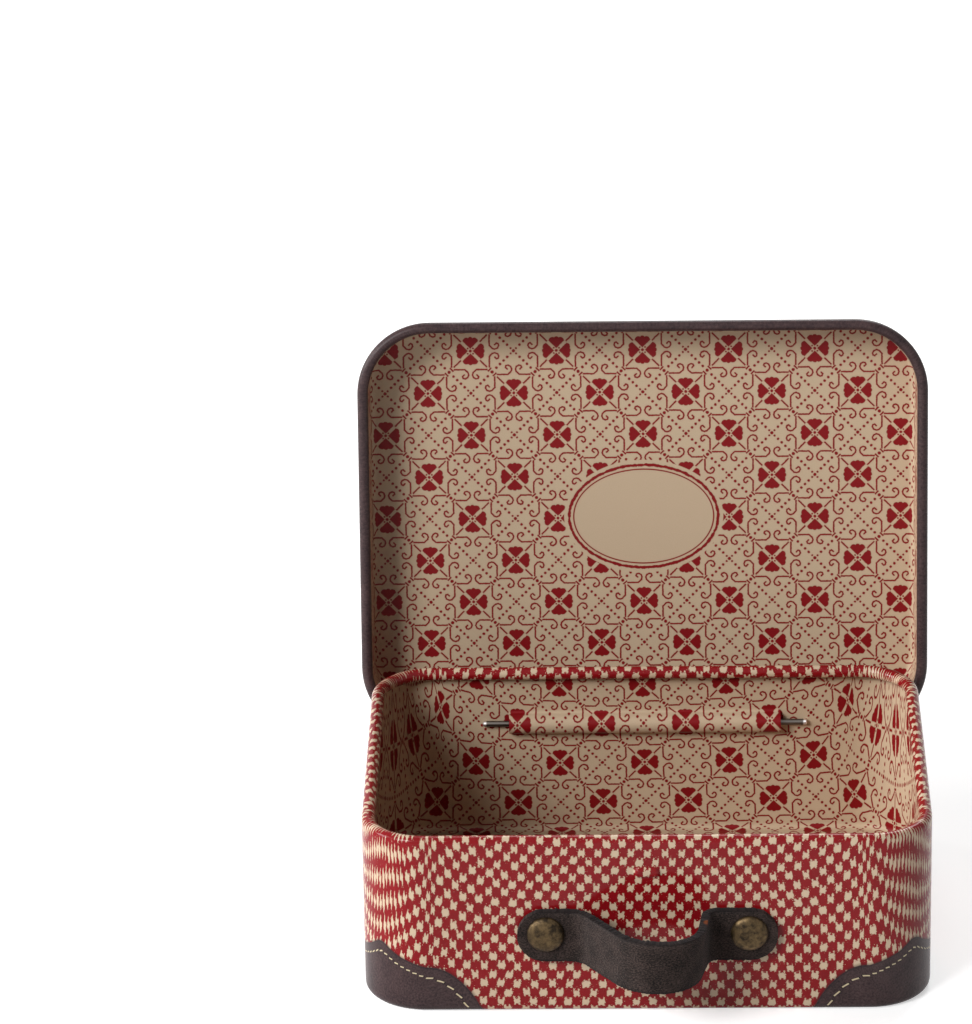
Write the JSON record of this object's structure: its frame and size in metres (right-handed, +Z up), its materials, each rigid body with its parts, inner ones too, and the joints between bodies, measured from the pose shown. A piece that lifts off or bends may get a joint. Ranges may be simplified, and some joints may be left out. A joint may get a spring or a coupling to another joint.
{
  "type": "miniature suitcase",
  "caption": "Miniature tinplate suitcase for a doll: two drawn trays on a rear wire hinge, rolled rims and a riveted leather strap handle, standing open.",
  "frame": {"origin": "middle of the bottom face of the bottom tray", "axes": "+Z up, away from the face it stands on; +Y from the handle to the hinge; +X to the right, along the hinge wire"},
  "size_m": [0.0942, 0.0998, 0.0865],
  "materials": {
    "printed_tin": "lithographed, semi-gloss",
    "steel_wire": "drawn",
    "strap_leather": "nubuck, raw edges",
    "aged_brass": "antique, satin"
  },
  "bodies": {
    "case": {"base_tray": "printed_tin", "hinge_wire": "steel_wire", "handle_strap": "strap_leather", "rivet_cap_left": "aged_brass", "rivet_cap_right": "aged_brass", "rivet_post_left": "aged_brass", "rivet_post_right": "aged_brass"},
    "lid": {"lid_tray": "printed_tin"}
  },
  "joints": [
    {"name": "lid_hinge", "type": "hinge", "parent": "case", "child": "lid", "pos_m": [0, 0.03223, 0.02002], "axis": [1, 0, 0], "range_deg": [0, 100]}
  ]
}
